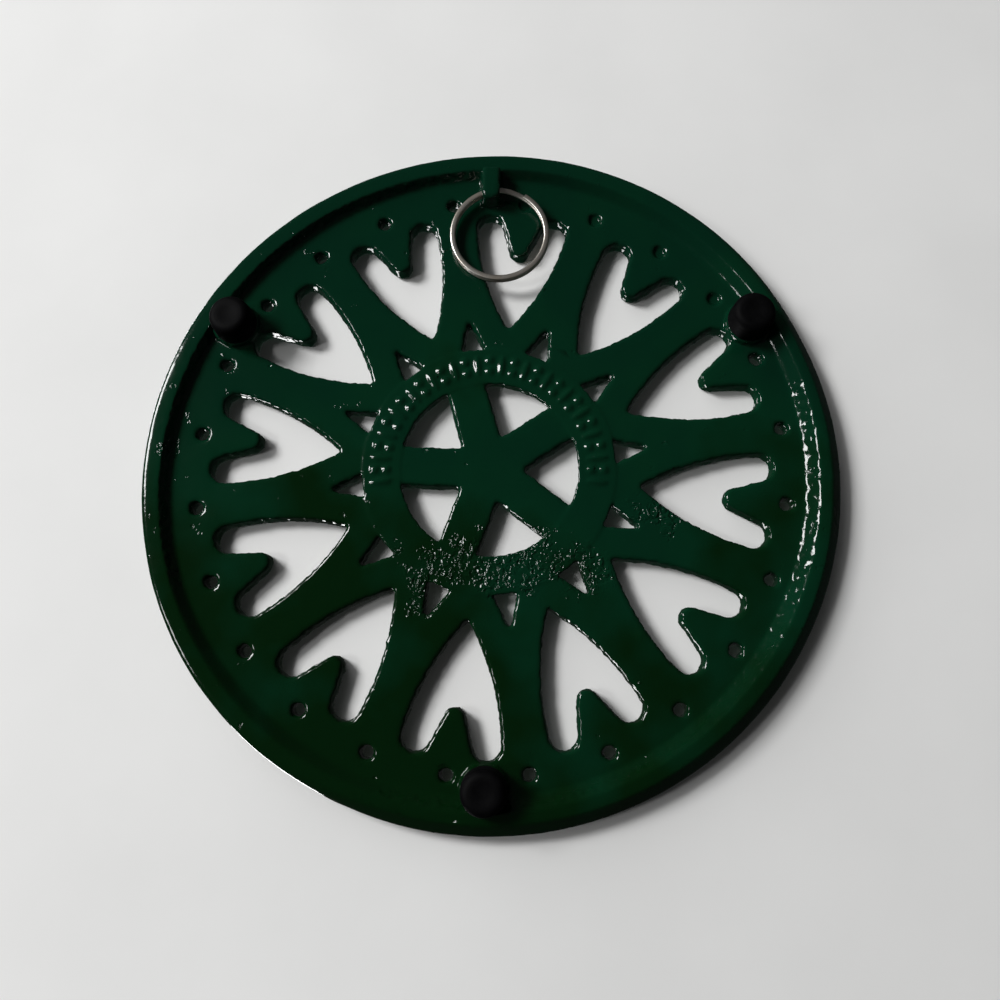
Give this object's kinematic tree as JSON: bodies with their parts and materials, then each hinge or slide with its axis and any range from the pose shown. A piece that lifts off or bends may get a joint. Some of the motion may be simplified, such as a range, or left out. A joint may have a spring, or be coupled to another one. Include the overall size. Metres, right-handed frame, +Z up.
{
  "type": "trivet",
  "caption": "Round cast-iron trivet pierced with hearts around a star, with a bevelled rim, rubber-capped feet and a split ring in a lug to hang it by.",
  "frame": {"origin": "on the table, under the middle of the plate", "axes": "+Z up, from the table to the pot face; +Y from the middle to the lug that carries the ring"},
  "size_m": [0.2018, 0.2018, 0.015],
  "materials": {
    "green_enamel": "glossy dark green vitreous enamel over rough cast iron",
    "black_rubber": "satin black rubber",
    "nickel_plate": "bright nickel plate on steel"
  },
  "bodies": {
    "stand": {"casting": "green_enamel", "foot_cap_1": "black_rubber", "foot_cap_2": "black_rubber", "foot_cap_3": "black_rubber"},
    "ring": {"split_ring": "nickel_plate"}
  },
  "joints": [
    {"name": "ring_swing", "type": "hinge", "parent": "stand", "child": "ring", "pos_m": [0, 0.0875, 0.007], "axis": [1, 0, 0], "range_deg": [0, 170]}
  ]
}
